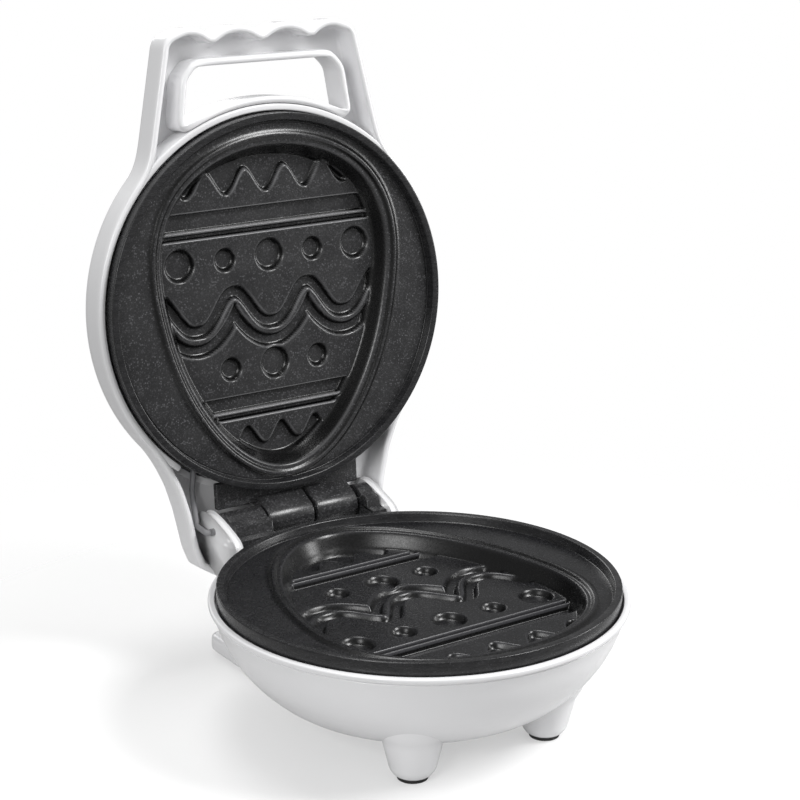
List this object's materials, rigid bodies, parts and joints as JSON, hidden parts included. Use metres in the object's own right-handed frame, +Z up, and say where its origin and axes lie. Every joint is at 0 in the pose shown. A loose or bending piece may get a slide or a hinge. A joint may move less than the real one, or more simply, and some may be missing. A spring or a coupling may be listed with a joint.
{
  "type": "mini waffle maker",
  "caption": "Small round waffle maker with an egg-shaped mould, shown open; the lid with its hollow wavy handle turns on knuckles cast into the plates.",
  "frame": {"origin": "middle of the outline seen from above, at the height of the table that the pads stand on", "axes": "+X along the hinge to the right seen from the front, +Y to the hinge at the rear, +Z up"},
  "size_m": [0.1226, 0.1606, 0.1957],
  "materials": {
    "shell_plastic": "glossy white heat-resistant plastic",
    "coated_casting": "cast aluminium with a speckled black non-stick coating",
    "element_sheath": "dull steel heater tube",
    "sheet_steel": "plain thin sheet",
    "thermostat_body": "pressed ceramic with a steel cap",
    "fuse_sleeve": "woven glass sleeve",
    "terminal_ceramic": "unglazed ceramic",
    "black_rubber": "matte black rubber",
    "fixing_steel": "plated steel",
    "lead_sleeve": "silicone insulated wire"
  },
  "bodies": {
    "base": {"base_shell": "shell_plastic", "lower_plate": "coated_casting", "lower_element": "element_sheath", "lower_shield": "sheet_steel", "thermostat": "thermostat_body", "thermostat_bracket": "sheet_steel", "thermal_fuse": "fuse_sleeve", "terminal_block": "terminal_ceramic", "cord_gland": "black_rubber", "hinge_pin": "fixing_steel", "base_lead": "lead_sleeve", "lower_screw_1": "fixing_steel", "lower_screw_2": "fixing_steel", "lower_screw_3": "fixing_steel", "front_pad_left": "black_rubber", "front_pad_right": "black_rubber", "rear_pad_left": "black_rubber", "rear_pad_right": "black_rubber"},
    "lid": {"lid_shell": "shell_plastic", "upper_plate": "coated_casting", "upper_element": "element_sheath", "upper_shield": "sheet_steel", "lid_lead": "lead_sleeve", "upper_screw_1": "fixing_steel", "upper_screw_2": "fixing_steel", "upper_screw_3": "fixing_steel", "lid_plug_1": "shell_plastic", "lid_plug_2": "shell_plastic", "lid_plug_3": "shell_plastic"}
  },
  "joints": [
    {"name": "lid_hinge", "type": "hinge", "parent": "base", "child": "lid", "pos_m": [0, 0.04853, 0.0437], "axis": [1, 0, 0], "range_deg": [0, 94.5]}
  ]
}
